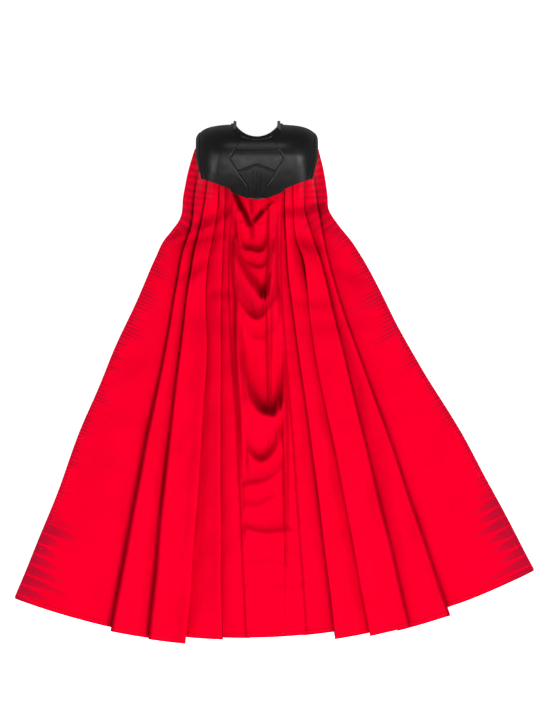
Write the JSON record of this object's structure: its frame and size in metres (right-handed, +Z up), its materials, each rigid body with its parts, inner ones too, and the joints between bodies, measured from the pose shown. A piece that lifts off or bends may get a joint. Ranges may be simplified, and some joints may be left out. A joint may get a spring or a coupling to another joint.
{
  "type": "superhero cape",
  "caption": "Pleated red satin cape with striped side gores, clamped inside a glossy black moulded shoulder yoke, for a small-scale figure.",
  "frame": {"origin": "on the table, in the middle of the laid-out cape's footprint", "axes": "+Z up from the table, +Y towards the neck, +X across the cape to the viewer's right, seen from above"},
  "size_m": [0.2998, 0.301, 0.0334],
  "materials": {
    "shell_plastic": "semi-gloss moulded black plastic with fine handling scuffs",
    "trim_plastic": "semi-gloss moulded black plastic, bonded plates",
    "peg_plastic": "matte dark grey moulded plastic",
    "liner_felt": "thin black felt",
    "clamp_plastic": "matte dark grey moulded plastic",
    "screw_steel": "small pan-head screws",
    "header_tape": "dark red woven tape",
    "red_satin": "bright red satin with a fine weave and pressed pleats",
    "printed_satin": "red satin printed with dark red feathered stripes",
    "hem_wire": "soft annealed wire"
  },
  "bodies": {
    "yoke": {"shoulder_shell": "shell_plastic", "neck_collar": "shell_plastic", "left_neck_peg": "peg_plastic", "right_neck_peg": "peg_plastic", "nape_plate": "trim_plastic", "back_plate": "trim_plastic", "spine_insert": "trim_plastic", "spine_ribs": "trim_plastic", "left_edge_strip": "trim_plastic", "right_edge_strip": "trim_plastic", "inner_liner": "liner_felt", "boss_plate": "clamp_plastic", "clamp_bar": "clamp_plastic", "clamp_screws": "screw_steel", "header_tape": "header_tape", "left_header": "red_satin", "right_header": "red_satin", "cowl_header": "red_satin"},
    "skirt": {"cowl_drape": "red_satin", "left_gore_strip": "printed_satin", "right_gore_strip": "printed_satin", "left_pleat_1": "red_satin", "left_pleat_2": "red_satin", "left_pleat_3": "red_satin", "left_pleat_4": "red_satin", "right_pleat_1": "red_satin", "right_pleat_2": "red_satin", "right_pleat_3": "red_satin", "right_pleat_4": "red_satin"},
    "left_wing": {"left_side_panel": "printed_satin", "left_side_hem": "printed_satin", "left_hem_wire": "hem_wire"},
    "right_wing": {"right_side_panel": "printed_satin", "right_side_hem": "printed_satin", "right_hem_wire": "hem_wire"}
  },
  "joints": [
    {"name": "cape_lift", "type": "hinge", "parent": "yoke", "child": "skirt", "pos_m": [-0.0103, 0.0845, 0.0028], "axis": [-1, 0, 0], "range_deg": [0, 80]},
    {"name": "left_wing_fold", "type": "hinge", "parent": "skirt", "child": "left_wing", "pos_m": [-0.0634, 0.0821, 0.0028], "axis": [0.1452, 0.9894, 0], "range_deg": [0, 165]},
    {"name": "right_wing_fold", "type": "hinge", "parent": "skirt", "child": "right_wing", "pos_m": [0.0445, 0.081, 0.0028], "axis": [0.2601, -0.9656, 0], "range_deg": [0, 165]}
  ]
}
